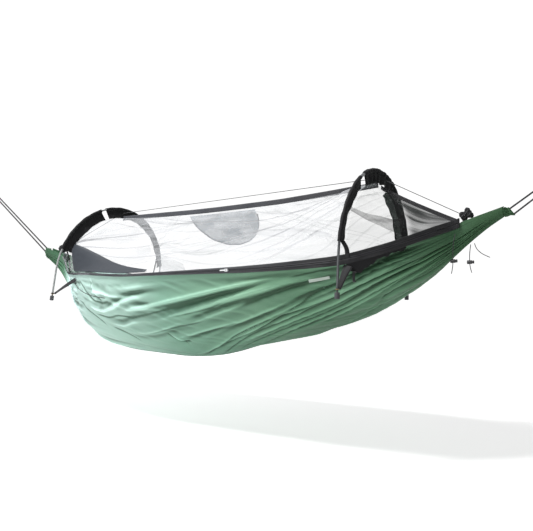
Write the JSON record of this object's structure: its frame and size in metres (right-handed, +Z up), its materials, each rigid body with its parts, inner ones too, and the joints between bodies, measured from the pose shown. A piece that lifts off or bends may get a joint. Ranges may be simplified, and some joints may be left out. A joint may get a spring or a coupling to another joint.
{
  "type": "camping hammock",
  "caption": "Gathered-end camping hammock with a deep fabric bed, zipped insect net on a ridge line and two bowed spreader poles across it.",
  "frame": {"origin": "centre of the head end hanging loops where they go round their hook", "axes": "+X along the bed from the foot end to the head end, +Z up, Y across the bed"},
  "size_m": [3.1163, 0.694, 0.92],
  "materials": {
    "outer_fabric": "matte ripstop nylon",
    "bed_fabric": "matte nylon",
    "black_cord": "braided cord",
    "black_webbing": "woven polyester webbing",
    "zip_coil": "nylon coil",
    "zip_metal": "painted die cast metal",
    "netting": "fine black netting",
    "grey_fabric": "coated polyester",
    "sleeve_fabric": "plain weave polyester",
    "ferrule_metal": "satin",
    "pole_tip": "moulded",
    "elastic_cord": "braided elastic",
    "brass": "polished",
    "pole": "pultruded fibreglass",
    "spring_steel": "drawn wire",
    "lock_plastic": "moulded",
    "pocket_net": "fine mesh",
    "label": "woven satin, blank"
  },
  "bodies": {
    "hammock": {"bed_layer": "bed_fabric", "blank_label": "label", "far_net_panel": "netting", "far_zip_coil": "zip_coil", "far_zip_tapes": "black_webbing", "foot_end_net": "netting", "foot_eyelets": "brass", "foot_foot_straps": "black_webbing", "foot_gather_hem": "outer_fabric", "foot_gussets": "grey_fabric", "foot_hanging_loop_a": "black_cord", "foot_hanging_loop_b": "black_cord", "foot_net_bunch": "netting", "foot_pole_far": "pole", "foot_pole_near": "pole", "foot_pole_tips": "pole_tip", "foot_pole_top": "pole", "foot_sleeve_far": "sleeve_fabric", "foot_sleeve_near": "sleeve_fabric", "foot_tie_cord": "black_cord", "head_end_net": "netting", "head_foot_straps": "black_webbing", "head_gather_hem": "outer_fabric", "head_gathered_cap": "sleeve_fabric", "head_hanging_loop_a": "black_cord", "head_hanging_loop_b": "black_cord", "head_net_bunch": "netting", "head_pole_far": "pole", "head_pole_near": "pole", "head_pole_tips": "pole_tip", "head_pole_top": "pole", "head_sleeve_far": "sleeve_fabric", "head_sleeve_near": "sleeve_fabric", "near_net_panel": "netting", "near_zip_coil": "zip_coil", "near_zip_tapes": "black_webbing", "outer_fabric_foot_end": "outer_fabric", "outer_fabric_foot_half": "outer_fabric", "outer_fabric_head_end": "outer_fabric", "outer_fabric_head_half": "outer_fabric", "pole_ferrules": "ferrule_metal", "pole_shock_cords": "elastic_cord", "ridge_cord": "black_cord", "ridge_tape": "black_webbing", "storage_pocket": "pocket_net", "stow_cord_a": "black_cord", "stow_cord_b": "black_cord", "stow_cord_c": "black_cord", "webbing_tab_loop": "black_webbing"},
    "near_zip_slider": {"near_zip_slider": "zip_metal"},
    "near_zip_puller": {"near_zip_puller": "zip_metal"},
    "far_zip_slider": {"far_zip_slider": "zip_metal"},
    "far_zip_puller": {"far_zip_puller": "zip_metal"},
    "cord_lock_a_barrel": {"cord_lock_a_barrel": "lock_plastic", "cord_lock_a_spring": "spring_steel"},
    "cord_lock_a_plunger": {"cord_lock_a_plunger": "lock_plastic"},
    "cord_lock_b_barrel": {"cord_lock_b_barrel": "lock_plastic", "cord_lock_b_spring": "spring_steel"},
    "cord_lock_b_plunger": {"cord_lock_b_plunger": "lock_plastic"}
  },
  "joints": [
    {"name": "near_zip_slide", "type": "slide", "parent": "hammock", "child": "near_zip_slider", "axis": [1, 0, 0.0073], "range_m": [-0.505, 0.022]},
    {"name": "near_puller_swing", "type": "hinge", "parent": "near_zip_slider", "child": "near_zip_puller", "pos_m": [-1.029, -0.3449, -0.26875], "axis": [-0.0073, 0, 1], "range_deg": [0, 170]},
    {"name": "far_zip_slide", "type": "slide", "parent": "hammock", "child": "far_zip_slider", "axis": [1, 0, 0.0073], "range_m": [-0.505, 0.022]},
    {"name": "far_puller_swing", "type": "hinge", "parent": "far_zip_slider", "child": "far_zip_puller", "pos_m": [-1.029, 0.3449, -0.26875], "axis": [0.0073, 0, -1], "range_deg": [0, 170]},
    {"name": "cord_lock_a_slide", "type": "slide", "parent": "hammock", "child": "cord_lock_a_barrel", "axis": [0, 0, 1], "range_m": [0, 0.008]},
    {"name": "cord_lock_a_press", "type": "slide", "parent": "cord_lock_a_barrel", "child": "cord_lock_a_plunger", "axis": [-1, 0, 0], "range_m": [0, 0.0036], "stiffness_N_per_m": 300, "springref_m": -0.004, "deforming": ["cord_lock_a_spring"]},
    {"name": "cord_lock_b_slide", "type": "slide", "parent": "hammock", "child": "cord_lock_b_barrel", "axis": [0, 0, 1], "range_m": [0, 0.008]},
    {"name": "cord_lock_b_press", "type": "slide", "parent": "cord_lock_b_barrel", "child": "cord_lock_b_plunger", "axis": [-1, 0, 0], "range_m": [0, 0.0036], "stiffness_N_per_m": 300, "springref_m": -0.004, "deforming": ["cord_lock_b_spring"]}
  ]
}
